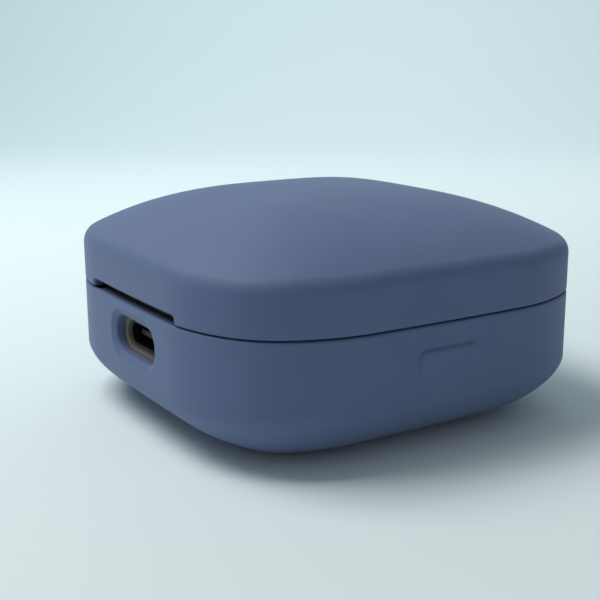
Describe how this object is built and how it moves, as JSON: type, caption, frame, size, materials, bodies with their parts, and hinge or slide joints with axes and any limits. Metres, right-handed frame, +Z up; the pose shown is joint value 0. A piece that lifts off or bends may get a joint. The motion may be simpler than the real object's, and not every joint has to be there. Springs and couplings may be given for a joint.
{
  "type": "earbuds charging case",
  "caption": "Soft square charging case for wireless earbuds in a matte silicone sleeve, with a hinged pillow-top lid, a rear charging port and a raised pairing button.",
  "frame": {"origin": "centre of the flat underside of the case's plan", "axes": "+Z up out of the lid; +Y towards the hinge and the charging port; -X towards the pairing button"},
  "size_m": [0.0578, 0.0574, 0.0298],
  "materials": {
    "silicone": "matte soft-touch silicone, dark navy",
    "adhesive": "thin double-sided adhesive sheet",
    "case_plastic": "fine matte hard plastic, warm grey",
    "liner_plastic": "smooth black moulded liner",
    "magnet": "nickel-plated magnet",
    "dark_plastic": "fine matte black plastic",
    "steel": "brushed stainless steel",
    "port_steel": "dark oxidised steel",
    "screw_steel": "machined steel",
    "gold": "gold-plated contact",
    "flex_film": "amber polyimide film",
    "circuit_board": "green solder mask with a fine weave",
    "battery_foil": "crinkled aluminium pouch foil",
    "connector_plastic": "ivory connector plastic",
    "red_insulation": "red wire insulation",
    "black_insulation": "black wire insulation",
    "chip_epoxy": "black moulded epoxy",
    "ceramic_parts": "tan ceramic with plated ends",
    "led_body": "pale yellow LED lens",
    "clear_plastic": "clear moulded acrylic",
    "button_plastic": "matte grey key plastic"
  },
  "bodies": {
    "base": {"base_sleeve": "silicone", "base_shell": "case_plastic", "cradle": "liner_plastic", "closure_magnets": "magnet", "earbud_magnets": "magnet", "hinge_base_bracket": "steel", "hinge_base_screws": "screw_steel", "cradle_screws": "screw_steel", "board_screws": "screw_steel", "charging_pins": "gold", "contact_flex": "flex_film", "main_board": "circuit_board", "battery": "battery_foil", "battery_tape": "adhesive", "battery_connector": "connector_plastic", "battery_lead_red": "red_insulation", "battery_lead_black": "black_insulation", "charge_chip": "chip_epoxy", "controller_chip": "chip_epoxy", "hall_sensor": "chip_epoxy", "passives": "ceramic_parts", "status_led": "led_body", "light_pipe": "clear_plastic", "usb_shell": "port_steel", "usb_tongue": "dark_plastic", "usb_contacts": "gold", "tact_switch_body": "dark_plastic", "button_board": "circuit_board", "button_flex": "flex_film"},
    "lid": {"lid_sleeve": "silicone", "lid_adhesive_pad": "adhesive", "lid_shell": "case_plastic", "lid_liner": "liner_plastic", "lid_magnets": "magnet", "hinge_cover": "dark_plastic", "hinge_pin": "steel", "hinge_washers": "steel", "hinge_lid_bracket": "steel", "hinge_lid_screws": "screw_steel"},
    "button": {"sleeve_button_pad": "silicone", "pairing_button": "button_plastic", "switch_plunger": "dark_plastic"}
  },
  "joints": [
    {"name": "lid_hinge", "type": "hinge", "parent": "base", "child": "lid", "pos_m": [0, 0.02595, 0.02025], "axis": [-1, 0, 0], "range_deg": [0, 95]},
    {"name": "button_press", "type": "slide", "parent": "base", "child": "button", "axis": [1, 0, 0], "range_m": [0, 0.00035], "stiffness_N_per_m": 3000}
  ]
}
